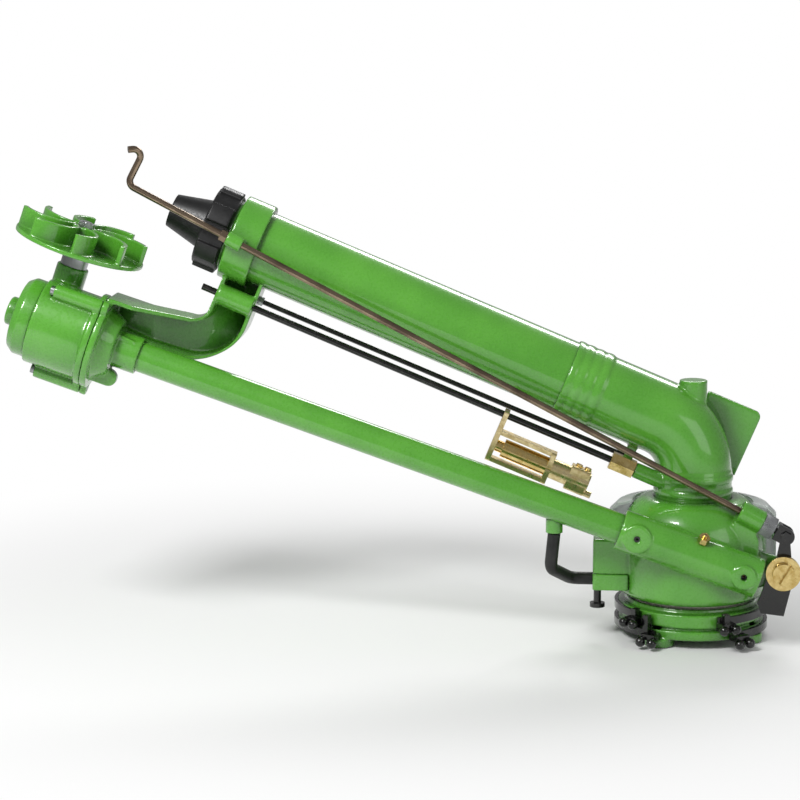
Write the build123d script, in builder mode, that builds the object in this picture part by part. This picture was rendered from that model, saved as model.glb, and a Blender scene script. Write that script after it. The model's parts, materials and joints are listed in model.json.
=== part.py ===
"""Turbine driven gun sprinkler on a flanged swivel base, modelled in millimetres.

The origin is the centre of the inlet flange's sealing face, +Z is up, the barrel points
towards -X, and the drive tube, the jet breaker and the trip lever are on the -Y side.
"""
import os
from math import cos, pi, radians, sin, tan

from build123d import *

os.makedirs("parts", exist_ok=True)

# Clearances and fits
seat_gap = 0.05         # a piece that is pressed or slid on to its own seat
running_gap = 0.06      # a shaft that turns in its bush
free_gap = 0.4          # pieces that pass each other as they move

# Waterway and inlet flange
waterway_radius = 40.0
bolt_circle = 152.4
lug_count = 4
lug_start = -30.0       # degrees from +X to the first lug
lug_radius = 18.0
lug_height = 10.5
stud_radius = 8.0
stud_depth = 24.0
face_radius = 52.0
drum_radius = 87.0
drum_bottom = 10.0
drum_top = 41.0
groove_bottom = 21.0
groove_top = 25.0
groove_depth = 4.5
drum_wall = 7.0
drum_hollow_top = 33.0
hub_step_radius = 78.0
hub_step_top = 46.0
hub_radius = 60.0
hub_top = 64.0
sleeve_wall = 5.0
sleeve_radius = waterway_radius + sleeve_wall
sleeve_top = 147.0

# Crown gear and drive worm at the base
gear_bottom = 108.0
gear_top = 120.0
gear_tip_radius = 72.5
tooth_count = 60
tooth_height = 5.0
tooth_root = 0.6
tooth_base = 4.6
tooth_flank = 75.0      # degrees
gear_web = 6.0
worm_radius = 13.0
worm_pitch = 8.0
worm_length = 32.0
thread_height = 3.4

# Swivel bearing between the sleeve and the turret
bearing_bottom = 128.0
bearing_height = 14.0
race_width = 6.5
ball_radius = 4.0
ball_count = 30

# Turret
turret_bottom = 50.0
turret_radius = 88.0
turret_edge = 9.0
turret_wall = 5.5
shoulder_height = 101.0
neck_joint_height = 167.0
turret_neck_wall = 5.0
closing_plate_radius = 76.9
closing_plate_low = 52.0
closing_plate_high = 57.0
retainer_width = 5.0
retainer_height = 1.6
slide_ring_width = 10.0

# Screws, nipple and pads on the turret
pad_front_x = 66.6
pad_rear_x = 57.2
pad_front_radius = 17.0
pad_rear_radius = 14.5
set_screw_radius = 3.6
set_screw_length = 5.0
nipple_place = -2.75
nipple_lean = 29.0      # degrees towards the -Y side
nipple_radius = 3.0
nipple_hex_radius = 7.0
nipple_top = 36.0
adjuster_x = -112.0
adjuster_y = -31.0
adjuster_depth = 14.0

# Elbow and barrel
elbow_height = 245.0    # where the barrel line meets the swivel axis
barrel_rise = 22.5      # degrees above the horizontal
bend_radius = 68.0
neck_radius = 46.0
elbow_radius = 45.0
bead_height = 1.6
bead_width = 6.0
socket_start = 121.0
socket_length = 46.0
barrel_radius = 44.0
stub_radius = 16.5
stub_top = 307.0
stub_offset = -2.0
fin_rear = 70.0
fin_low = 46.0
fin_high = 37.0
fin_thickness = 8.0
fin_centre = 40.0

# Front bracket, nozzle and jet straightener
collar_start = 560.0
collar_front = 596.0
collar_radius = 51.5
thread_radius = 43.0
thread_end = 622.0
nut_start = 600.0
nut_front = 631.0
nut_ring_radius = 46.5
nut_lug_radius = 51.0
nut_lug_count = 6
nut_lug_width = 24.0
nut_lug_start = 602.0
nut_lug_end = 629.0
nozzle_inlet = 560.0
nozzle_tip = 676.0
nozzle_tip_radius = 20.0
nozzle_wall = 4.0
jet_radius = 14.0
nozzle_flange = 3.6
gasket_thickness = 2.0
straightener_start = 240.0
straightener_length = 160.0
straightener_vanes = 6
vane_thickness = 1.5

# Drive line, parallel to the drive tube
drive_side = 86.0       # from the swivel axis to the drive line
drive_height = 114.0    # of the drive line over the base, level with the swivel axis
drive_rise = 19.14      # degrees
boss_radius = 24.0
boss_rear = 80.0
boss_front = 91.4
tube_radius = 18.0
tube_wall = 3.0
tube_insert = 25.0
socket_mouth = 688.0    # front end of the visible drive tube
socket_radius = 22.0
shaft_radius = 6.0
bush_radius = 11.0
bush_length = 14.0
worm_chamber_radius = 15.0

# Gearbox, measured along the drive line
gearbox_flange = 735.0
flange_plate = 8.0
gearbox_radius = 56.0
case_radius = 51.0
case_flange = 8.0
gearbox_wall = 5.0
cap_joint = 816.0
cap_radius = 46.5
cap_length = 23.0
cap_flange = 7.0
hub_boss_radius = 17.0
hub_boss_length = 13.0
gearbox_lug_circle = 57.0
gearbox_lug_radius = 9.0
gearbox_lug_angles = (-90.0, 54.0, 198.0)
gearbox_bolt_radius = 3.0
gearbox_screw_head = 5.4
bolt_lug_place = 714.0
bolt_lug_drop = 34.0
bolt_lug_near = 15.0
bolt_lug_radius = 10.0
bolt_lug_thickness = 12.0
wheel_line_place = 800.0     # where the wheel shaft crosses, along the drive line

# Turbine wheel, measured along the wheel shaft from the drive line
wheel_shaft_radius = 6.0
wheel_shaft_side = -28.0     # the wheel shaft passes on the far side of the drive shaft
wheel_disc_height = 92.0
wheel_radius = 77.5
wheel_disc = 5.0
vane_count = 8
wheel_vane_height = 28.0
wheel_vane_wall = 5.0
wheel_hub_radius = 15.0
wheel_hub_height = 26.0
neck_top = 70.0
wheel_neck_radius = 19.0
collar_top = 84.0
shaft_collar_radius = 16.0

# Worm and worm wheel in the gearbox
worm_wheel_radius = 20.0      # pitch radius
worm_wheel_width = 8.0
worm_wheel_teeth = 30
tooth_depth = 2.6
mesh_slack = 0.9
wheel_tooth_flank = 75.0
top_worm_length = 34.0
top_worm_turns = 6.5
thread_sink = 0.4
thread_flank = 78.0     # degrees
drive_worm_turns = 3.0
wheel_bush_radius = 9.0
wheel_bush_length = 12.0
wheel_journal_radius = 4.0
lower_bush_place = -30.0

# Jet breaker rod
rod_radius = 4.0
rod_side = 60.0
rod_rear_x = 60.0
rod_rear_z = 158.5
rod_drop = 27.65        # degrees, towards the rear
rod_length = 820.0
rod_bend_radius = 9.0
crank_length = 48.0
hook_forward = 16.0
hook_down = 10.0
hook_near = 8.0
rod_boss_radius = 9.0
rod_boss_start = 668.0
rod_boss_length = 20.0
guide_nut_width = 15.0
guide_nut_height = 8.0

# Rear lug, trip lever and its link
lug_boss_radius = 14.0
lug_boss_rear = -22.0
lug_boss_front = 8.0
link_nut_radius = 13.0
link_nut_length = 15.0
fork_place = -53.0
fork_base = -43.5
fork_base_end = -40.0
spindle_end = -8.5
rod_start = -8.0
fork_width = 17.0
fork_cheek = 4.0
fork_radius = 10.0
fork_bolt_radius = 3.5
lever_pivot_x = 105.0
lever_pivot_z = 90.0
lever_thickness = 6.0
lever_hub_radius = 15.0
lever_tail = ((76.0, 52.0), (80.0, 40.0), (107.0, 37.0), (118.0, 85.0), (92.0, 97.0))
slot_low = 40.85          # bolt positions along the arm, from the pivot
slot_high = 43.94
slot_lean = 2.48          # degrees
slot_clearance = 0.6
slot_wall = 7.5
lever_arm_width = 22.0
knob_radius = 20.5
knob_thickness = 8.0
knob_step_radius = 13.0
knob_step = 7.0
knob_shank_radius = 6.0
knob_slot = 4.0

# Feed tube, tie rod and the brass needle valve, measured along the barrel line
feed_tube_radius = 4.0
feed_side = 22.0
feed_drop = 67.0
feed_rear = 78.8
feed_front = 606.0
feed_nut_length = 30.0
feed_nut_radius = 11.5
feed_port_radius = 9.5
tie_rod_radius = 3.0
tie_side = 5.0
tie_drop = 59.0
tie_rear = 66.0
valve_side = 26.0
valve_drop = 104.0
valve_front = 214.0
valve_rear = 84.0
cage_width = 22.0
cage_thickness = 5.0
cage_half_height = 17.0
valve_body_radius = 11.0
valve_head_length = 34.0
valve_head_radius = 12.0
cage_plate = 6.0
cage_rear = 140.0
cage_top = 60.0
eye_radius = 4.0

# Rear cover
cover_radius = 100.0
cover_wall = 2.5
cover_bottom = 77.0
cover_shoulder = 150.0
cover_top = 161.0
cover_rim_radius = 72.0
cover_start = -8.0
cover_sweep = 192.0
cover_tabs = (18.0, 88.0, 158.0)       # degrees
cover_tab_width = 14.0
cover_tab_height = 4.0

# Latch box, bolt and hose at the front of the turret
box_outer = 118.0
box_low = 60.0
box_high = 122.0
box_near = 50.0
box_far = 12.0
box_groove_height = 80.0
bolt_radius = 4.5
bolt_head_radius = 9.0
bolt_head = 5.0
bolt_drop = 36.0
hose_radius = 7.5
hose_top = (-163.0, -84.0, 137.0)
hose_height = 72.0
hose_side = -38.0
hose_bend_radius = 14.0
fitting_bottom = 138.2
fitting_height = 16.0
fitting_radius = 10.0

# Sector stops
band_wall = 4.0
band_height = 9.0
band_clear = 0.5
upper_band_middle = 35.0
lower_band_middle = 15.5
upper_gap = (-71.0, -136.0)          # degrees, open front of the upper band
lower_gap = (-54.0, -119.0)
upper_ears = (-66.0, -134.6)
lower_ears = (-55.0, -120.5)
upper_posts = (-66.0, -134.6)
lower_posts = (-124.0,)
upper_post_top = 44.0
lower_post_top = 39.0
post_reach = 99.0
post_width = 7.0
ear_reach = 104.0
ear_width = 18.0
upper_ear = (23.5, 34.0)             # bottom and top
lower_ear = (11.2, 18.0)
stop_ball_radius = 6.0
stop_ball_reach = 107.0
stop_ball_spread = 7.5
upper_ball_height = 27.5
lower_ball_height = 9.0


def line_plane(start, rise):
    """Plane whose normal climbs towards -X; its x points at -Y and its y points up."""
    climb = radians(rise)
    return Plane(origin=start, x_dir=(0, -1, 0), z_dir=(-cos(climb), 0, sin(climb)))


def side_plane(line):
    """Plane that holds the line: its x is distance along the line and its y is radius."""
    return Plane(origin=line.origin, x_dir=line.z_dir, z_dir=-line.x_dir)


def on_line(line, along, up=0.0, near=0.0):
    """Point at a distance along a line, and above it or nearer to the -Y side."""
    return line.origin + line.z_dir * along + line.y_dir * up + line.x_dir * near


def direction(angle, reach):
    """Point in a sketch at an angle and a distance from its origin."""
    return (reach * cos(radians(angle)), reach * sin(radians(angle)))


def finish(piece, name, colour):
    """Label a finished piece, give it its colour and write its file."""
    piece.part.label = name
    piece.part.color = Color(colour)
    export_step(piece.part, f"parts/{name}.step")


barrel_line = line_plane((0, 0, elbow_height), barrel_rise)
drive_line = line_plane((0, -drive_side, drive_height), drive_rise)
rod_line = line_plane((rod_rear_x, -rod_side, rod_rear_z), rod_drop)
barrel_side = side_plane(barrel_line)
drive_profile = side_plane(drive_line)
rod_profile = side_plane(rod_line)
feed_line = Plane(
    origin=on_line(barrel_line, 0, -feed_drop, feed_side), x_dir=barrel_line.x_dir, z_dir=barrel_line.z_dir
)
tie_line = Plane(
    origin=on_line(barrel_line, 0, -tie_drop, tie_side), x_dir=barrel_line.x_dir, z_dir=barrel_line.z_dir
)
valve_line = Plane(
    origin=on_line(barrel_line, 0, -valve_drop, valve_side), x_dir=barrel_line.x_dir, z_dir=barrel_line.z_dir
)
wheel_line = Plane(
    origin=on_line(drive_line, wheel_line_place, 0, wheel_shaft_side),
    x_dir=drive_line.x_dir,
    z_dir=drive_line.y_dir,
)

# Inlet flange: tapped lugs, drum with the groove between its two rings, hub and sleeve
with BuildPart() as inlet_flange:
    with BuildSketch():
        Circle(face_radius)
    extrude(amount=drum_bottom)
    with BuildSketch():
        with PolarLocations(bolt_circle / 2, lug_count, start_angle=lug_start):
            Circle(lug_radius)
    extrude(amount=lug_height)
    with BuildSketch(Plane.XY.offset(drum_bottom)):
        Circle(drum_radius)
    extrude(amount=drum_top - drum_bottom)
    with BuildSketch(Plane.XY.offset(groove_bottom)):
        Circle(drum_radius)
        Circle(drum_radius - groove_depth, mode=Mode.SUBTRACT)
    extrude(amount=groove_top - groove_bottom, mode=Mode.SUBTRACT)
    with BuildSketch(Plane.XY.offset(drum_bottom)):
        Circle(drum_radius - drum_wall)
        Circle(face_radius + drum_wall, mode=Mode.SUBTRACT)
        with PolarLocations(bolt_circle / 2, lug_count, start_angle=lug_start):
            Circle(lug_radius, mode=Mode.SUBTRACT)
    extrude(amount=drum_hollow_top - drum_bottom, mode=Mode.SUBTRACT)
    with BuildSketch(Plane.XY.offset(drum_top)):
        Circle(hub_step_radius)
    extrude(amount=hub_step_top - drum_top)
    with BuildSketch(Plane.XY.offset(hub_step_top)):
        Circle(hub_radius)
    extrude(amount=hub_top - hub_step_top)
    with BuildSketch(Plane.XY.offset(hub_top)):
        Circle(sleeve_radius)
    extrude(amount=sleeve_top - hub_top)
    with BuildSketch():
        Circle(waterway_radius)
    extrude(amount=sleeve_top, mode=Mode.SUBTRACT)
    with BuildSketch():
        with PolarLocations(bolt_circle / 2, lug_count, start_angle=lug_start):
            Circle(stud_radius)
    extrude(amount=stud_depth, mode=Mode.SUBTRACT)
finish(inlet_flange, "inlet_flange", "green")

# Slide ring that the turret turns on
with BuildPart() as slide_ring:
    with BuildSketch(Plane.XY.offset(hub_step_top)):
        Circle(hub_radius + slide_ring_width)
        Circle(hub_radius + seat_gap, mode=Mode.SUBTRACT)
    extrude(amount=closing_plate_low - hub_step_top - free_gap)
finish(slide_ring, "slide_ring", "ivory")

# Crown gear keyed to the sleeve
with BuildPart() as crown_gear:
    with BuildSketch(Plane.XY.offset(gear_bottom)):
        Circle(gear_tip_radius - tooth_height)
        with PolarLocations(gear_tip_radius - (tooth_height + tooth_root) / 2, tooth_count):
            Trapezoid(tooth_base, tooth_height + tooth_root, tooth_flank, rotation=-90)
        Circle(sleeve_radius + seat_gap, mode=Mode.SUBTRACT)
    extrude(amount=gear_top - gear_bottom)
    with BuildSketch(Plane.XY.offset(gear_bottom + gear_web)):
        Circle(gear_tip_radius - tooth_height - gear_web)
        Circle(sleeve_radius + gear_web, mode=Mode.SUBTRACT)
    extrude(amount=gear_top - gear_bottom - gear_web, mode=Mode.SUBTRACT)
finish(crown_gear, "crown_gear", "goldenrod")

# Swivel bearing: two grooved races and the balls between them
ball_groove = ball_radius + seat_gap
inner_race_start = sleeve_radius + seat_gap
ball_path = inner_race_start + race_width + ball_radius
outer_race_end = ball_path + ball_radius + race_width
race_shoulder = race_width + ball_radius / 2
bearing_middle = bearing_bottom + bearing_height / 2


def race(inner, outer):
    """One race of the swivel bearing, with its ball groove."""
    with BuildPart() as ring:
        with BuildSketch(Plane.XY.offset(bearing_bottom)):
            Circle(outer)
            Circle(inner, mode=Mode.SUBTRACT)
        extrude(amount=bearing_height)
        with BuildSketch(Plane.XZ):
            with Locations((ball_path, bearing_middle)):
                Circle(ball_groove)
        revolve(axis=Axis.Z, mode=Mode.SUBTRACT)
    return ring


bearing_inner_race = race(inner_race_start, inner_race_start + race_shoulder)
finish(bearing_inner_race, "bearing_inner_race", "lightgray")
bearing_outer_race = race(outer_race_end - race_shoulder, outer_race_end)
finish(bearing_outer_race, "bearing_outer_race", "lightgray")

with BuildPart() as bearing_balls:
    with Locations((0, 0, bearing_middle)):
        with PolarLocations(ball_path, ball_count):
            Sphere(ball_radius)
finish(bearing_balls, "bearing_balls", "silver")

# Turret housing
turret_top_radius = neck_radius + turret_neck_wall
cavity_radius = turret_radius - turret_wall
bearing_seat = outer_race_end + seat_gap
seat_top = bearing_bottom + bearing_height + free_gap
neck_bottom = sleeve_top + 4.0
plate_seat = closing_plate_radius + seat_gap
retainer_radius = closing_plate_radius + 1.6
ledge_radius = gear_tip_radius + 1.0
dome_width = turret_radius + 1 - turret_top_radius
dome_height = neck_joint_height - shoulder_height
pad_front = ((-pad_front_x, drive_height + pad_front_x * tan(radians(drive_rise))), tube_radius)
pad_rear = ((pad_rear_x, drive_height - pad_rear_x * tan(radians(drive_rise))), bush_radius)
nipple_line = Plane(
    origin=on_line(drive_line, nipple_place),
    x_dir=drive_line.z_dir,
    z_dir=drive_line.y_dir * cos(radians(nipple_lean)) + drive_line.x_dir * sin(radians(nipple_lean)),
)

with BuildPart() as turret_housing:
    # outer form: drum with a rounded bottom edge and an elliptical shoulder
    with BuildSketch(Plane.XZ):
        with BuildLine():
            floor = Line((0, turret_bottom), (turret_radius - turret_edge, turret_bottom))
            edge = TangentArc(floor @ 1, (turret_radius, turret_bottom + turret_edge), tangent=(1, 0))
            wall = Line(edge @ 1, (turret_radius + 1, shoulder_height))
            EllipticalCenterArc(
                (turret_top_radius, shoulder_height), dome_width, dome_height, start_angle=0, arc_size=90
            )
            Line((turret_top_radius, neck_joint_height), (0, neck_joint_height))
            Line((0, neck_joint_height), (0, turret_bottom))
        make_face()
    revolve(axis=Axis.Z)
    # boss that holds the drive line
    with BuildSketch(drive_line.offset(-boss_rear)):
        Circle(boss_radius)
    extrude(amount=boss_rear + boss_front)
    # latch box
    with BuildSketch(Plane.XY.offset(box_groove_height)):
        with Locations((-(box_outer + cavity_radius) / 2 + 4, -(box_near + box_far) / 2)):
            RectangleRounded(box_outer - cavity_radius + 8, box_near - box_far, 4)
    extrude(amount=box_high - box_groove_height)
    # lug for the jet breaker rod and the ear for the trip lever
    with BuildSketch(rod_line.offset(lug_boss_rear)):
        Circle(lug_boss_radius)
    extrude(amount=lug_boss_front - lug_boss_rear)
    with BuildSketch(Plane.XZ.offset(rod_side - 7)):
        with BuildLine():
            Polyline((44, 104), (76, 98), (76, 128), (72, 137), (76, 147), (60, 168), (40, 140), close=True)
        make_face()
    extrude(amount=14)
    with BuildSketch(Plane.XZ.offset(rod_side - 16)):
        with Locations((lever_pivot_x, lever_pivot_z)):
            Circle(lug_boss_radius)
        with BuildLine():
            Polyline(
                (lever_pivot_x, lever_pivot_z + lug_boss_radius),
                (66, lever_pivot_z + 26),
                (66, lever_pivot_z - 26),
                (lever_pivot_x, lever_pivot_z - lug_boss_radius),
                close=True,
            )
        make_face()
    extrude(amount=9)
    # pads over the drive line bushes
    with BuildSketch(Plane.XZ.offset(drive_side)):
        with Locations(pad_front[0]):
            Circle(pad_front_radius)
        with Locations(pad_rear[0]):
            Circle(pad_rear_radius)
    extrude(amount=boss_radius + 1.5)
    # cavity, bearing seat and neck bore
    with BuildSketch(Plane.XZ):
        with BuildLine():
            Polyline(
                (0, turret_bottom),
                (plate_seat, turret_bottom),
                (plate_seat, closing_plate_high),
                (ledge_radius, closing_plate_high),
                (ledge_radius, closing_plate_high + 5),
                (cavity_radius, closing_plate_high + 8),
                (cavity_radius, shoulder_height + 9),
                (bearing_seat + 6, bearing_bottom - 1),
                (bearing_seat, bearing_bottom - 1),
                (bearing_seat, seat_top),
                (neck_radius + seat_gap, seat_top),
                (neck_radius + seat_gap, neck_joint_height),
                (0, neck_joint_height),
                close=True,
            )
        make_face()
    revolve(axis=Axis.Z, mode=Mode.SUBTRACT)
    with BuildSketch(Plane.XY.offset(closing_plate_low - retainer_height)):
        Circle(retainer_radius + seat_gap)
    extrude(amount=retainer_height + seat_gap, mode=Mode.SUBTRACT)
    # drive line bores
    with BuildSketch(drive_line.offset(boss_front - tube_insert)):
        Circle(tube_radius + seat_gap)
    extrude(amount=tube_insert, mode=Mode.SUBTRACT)
    with BuildSketch(drive_line.offset(-bush_length - 48)):
        Circle(bush_radius + seat_gap)
    extrude(amount=boss_front + bush_length + 48, mode=Mode.SUBTRACT)
    with BuildSketch(drive_line.offset(-48)):
        Circle(worm_chamber_radius)
    extrude(amount=96, mode=Mode.SUBTRACT)
    # bore of the rod lug and the pivot hole
    with BuildSketch(rod_line.offset(lug_boss_rear)):
        Circle(rod_radius + running_gap)
    extrude(amount=lug_boss_front - lug_boss_rear, mode=Mode.SUBTRACT)
    with BuildSketch(Plane.XZ.offset(rod_side - 16)):
        with Locations((lever_pivot_x, lever_pivot_z)):
            Circle(knob_shank_radius + seat_gap)
    extrude(amount=12, mode=Mode.SUBTRACT)
    # threaded holes for the set screws, the grease nipple and the adjuster bolt
    for place, depth in (pad_front, pad_rear):
        with BuildSketch(Plane.XZ.offset(drive_side + depth)):
            with Locations(place):
                Circle(set_screw_radius + seat_gap)
        extrude(amount=boss_radius, mode=Mode.SUBTRACT)
    with BuildSketch(nipple_line.offset(worm_chamber_radius - 2)):
        Circle(nipple_radius + seat_gap)
    extrude(amount=boss_radius, mode=Mode.SUBTRACT)
    with BuildSketch(Plane.XY.offset(box_groove_height)):
        with Locations((adjuster_x, adjuster_y)):
            Circle(bolt_radius + seat_gap)
    extrude(amount=adjuster_depth, mode=Mode.SUBTRACT)
finish(turret_housing, "turret_housing", "limegreen")

# Plate and retaining ring that close the turret from below
with BuildPart() as closing_plate:
    with BuildSketch(Plane.XY.offset(closing_plate_low)):
        Circle(closing_plate_radius)
        Circle(hub_radius + free_gap, mode=Mode.SUBTRACT)
    extrude(amount=closing_plate_high - closing_plate_low)
finish(closing_plate, "closing_plate", "green")

with BuildPart() as retaining_ring:
    with BuildSketch(Plane.XY.offset(closing_plate_low - retainer_height)):
        Circle(retainer_radius)
        Circle(retainer_radius - retainer_width, mode=Mode.SUBTRACT)
        with Locations((0, retainer_radius)):
            Rectangle(retainer_width * 3, retainer_width * 3, mode=Mode.SUBTRACT)
    extrude(amount=retainer_height)
finish(retaining_ring, "retaining_ring", "gray")

# Elbow: neck, bend and the socket that takes the barrel
bend_reach = bend_radius * tan(radians((90 - barrel_rise) / 2))
socket_end = socket_start + socket_length
fin_place = Plane(
    origin=on_line(barrel_line, 0, 0, -fin_centre - fin_thickness / 2), x_dir=barrel_line.z_dir, z_dir=(0, -1, 0)
)
tie_lug_length = 12.0
tie_lug_width = 10.0

with BuildPart() as elbow:
    with BuildLine() as elbow_path:
        FilletPolyline(
            (0, 0, neck_bottom), (0, 0, elbow_height), on_line(barrel_line, socket_end), radius=bend_radius
        )
    with BuildSketch(Plane.XY.offset(neck_bottom)):
        Circle(elbow_radius)
    sweep(path=elbow_path.line)
    with BuildSketch(Plane.XY.offset(neck_bottom)):
        Circle(neck_radius)
    extrude(amount=elbow_height - bend_reach - neck_bottom)
    for bead_middle in (175.0, 191.0):
        with BuildSketch(Plane.XY.offset(bead_middle - bead_width / 2)):
            Circle(neck_radius + bead_height)
        extrude(amount=bead_width)
    with BuildSketch(barrel_line.offset(socket_start)):
        Circle(neck_radius)
    extrude(amount=socket_length)
    for bead_middle in (socket_start + 5, socket_start + 17, socket_end - 17, socket_end - 5):
        with BuildSketch(barrel_line.offset(bead_middle - bead_width / 2)):
            Circle(neck_radius + bead_height / 2)
        extrude(amount=bead_width)
    with BuildSketch(Plane.XY.offset(elbow_height)):
        with Locations((stub_offset, 0)):
            Circle(stub_radius)
    extrude(amount=stub_top - elbow_height)
    # flat fin on the far side
    with BuildSketch(fin_place):
        with BuildLine():
            Polyline((0, -fin_low), (0, fin_high), (-fin_rear, fin_high), (-fin_rear, -fin_low), close=True)
        make_face()
    extrude(amount=fin_thickness)
    fillet(elbow.edges().filter_by(Axis.Y).group_by(Axis.X)[-1], radius=8)
    # port for the feed tube and lug for the tie rod
    with BuildSketch(feed_line.offset(10)):
        Circle(feed_port_radius)
    extrude(amount=feed_rear - feed_nut_length - 10)
    with BuildSketch(barrel_line.offset(tie_rear - tie_lug_length)):
        with Locations((tie_side, -(tie_drop + barrel_radius - 4) / 2)):
            RectangleRounded(tie_lug_width, tie_drop - barrel_radius + 11, 4)
    extrude(amount=tie_lug_length)
    # waterway, barrel socket, feed drilling and tie rod hole
    with BuildSketch(Plane.XY.offset(neck_bottom)):
        Circle(waterway_radius)
    sweep(path=elbow_path.line, mode=Mode.SUBTRACT)
    with BuildSketch(barrel_line.offset(socket_start + 7)):
        Circle(barrel_radius + seat_gap)
    extrude(amount=socket_length, mode=Mode.SUBTRACT)
    with BuildSketch(feed_line):
        Circle(feed_tube_radius - 1)
    extrude(amount=feed_rear, mode=Mode.SUBTRACT)
    with BuildSketch(tie_line.offset(tie_rear - tie_lug_length)):
        Circle(tie_rod_radius + seat_gap)
    extrude(amount=tie_lug_length, mode=Mode.SUBTRACT)
finish(elbow, "elbow", "limegreen")

with BuildPart() as pressure_seal:
    with BuildSketch(Plane.XY.offset(sleeve_top + free_gap)):
        Circle(neck_radius - 0.3)
        Circle(waterway_radius + 0.3, mode=Mode.SUBTRACT)
    extrude(amount=neck_bottom - sleeve_top - free_gap)
finish(pressure_seal, "pressure_seal", "black")

with BuildPart() as barrel_tube:
    with BuildSketch(barrel_line.offset(socket_start + 7 + seat_gap)):
        Circle(barrel_radius)
        Circle(waterway_radius, mode=Mode.SUBTRACT)
    extrude(amount=collar_front - 6 - socket_start - 7 - 2 * seat_gap)
finish(barrel_tube, "barrel_tube", "limegreen")

# Jet straightener: a thin ring with radial vanes inside the barrel
with BuildPart() as jet_straightener:
    with BuildSketch(barrel_line.offset(straightener_start)):
        Circle(waterway_radius - 0.1)
        Circle(waterway_radius - 0.1 - vane_thickness, mode=Mode.SUBTRACT)
        with PolarLocations(waterway_radius / 2, straightener_vanes):
            Rectangle(waterway_radius - vane_thickness, vane_thickness)
        Circle(vane_thickness * 2)
    extrude(amount=straightener_length)
finish(jet_straightener, "jet_straightener", "gray")

# Front bracket: collar, thread for the nozzle, channel arm, tube socket and gearbox flange
gearbox_lugs = [direction(angle, gearbox_lug_circle) for angle in gearbox_lug_angles]
arm_front, arm_rear = 587.5, 539.0
arm_top, arm_low = -102.0, -150.0
arm_rib = 5.0
arm_web = 7.0
arm_half_width = 26.0
arm_boss_radius = 13.0


def arm_outline(inset):
    """Side view of the arm on the barrel's side plane, drawn in by a rib's thickness."""
    with BuildSketch(barrel_side) as outline:
        with BuildLine():
            rear = Line((arm_rear + inset, 0), (arm_rear + inset, -96))
            low = ThreePointArc(rear @ 1, (552, arm_low + 22 + inset), (590, arm_low + inset))
            under = Line(low @ 1, (700, arm_low + 3 + inset))
            end = Line(under @ 1, (700, arm_top - 7 - inset))
            over = Line(end @ 1, (604, arm_top - inset))
            corner = ThreePointArc(over @ 1, (592, arm_top + 4 - inset), (arm_front - inset, arm_top + 16))
            Line(corner @ 1, (arm_front - inset, 0))
            Line((arm_front - inset, 0), (arm_rear + inset, 0))
        make_face()
    return outline.sketch


def arm_plan(near, far):
    """Plan of the arm's walls, which swing from the barrel out to the drive line."""
    with BuildSketch(Plane.XY.offset(-10)) as plan:
        with BuildLine():
            Polyline(
                (-470, near), (-560, near), (-655, near - drive_side + 8), (-760, near - drive_side + 8),
                (-760, far - drive_side + 14), (-640, far - drive_side + 14), (-540, far), (-470, far),
                close=True,
            )
        make_face()
    return plan.sketch


with BuildPart() as arm_pocket:
    extrude(arm_outline(arm_rib), amount=drive_side * 2, both=True)
    pocket_plan = arm_plan(-arm_half_width - 30, arm_half_width - arm_web)
    extrude(pocket_plan, amount=elbow_height * 3, mode=Mode.INTERSECT)

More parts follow.
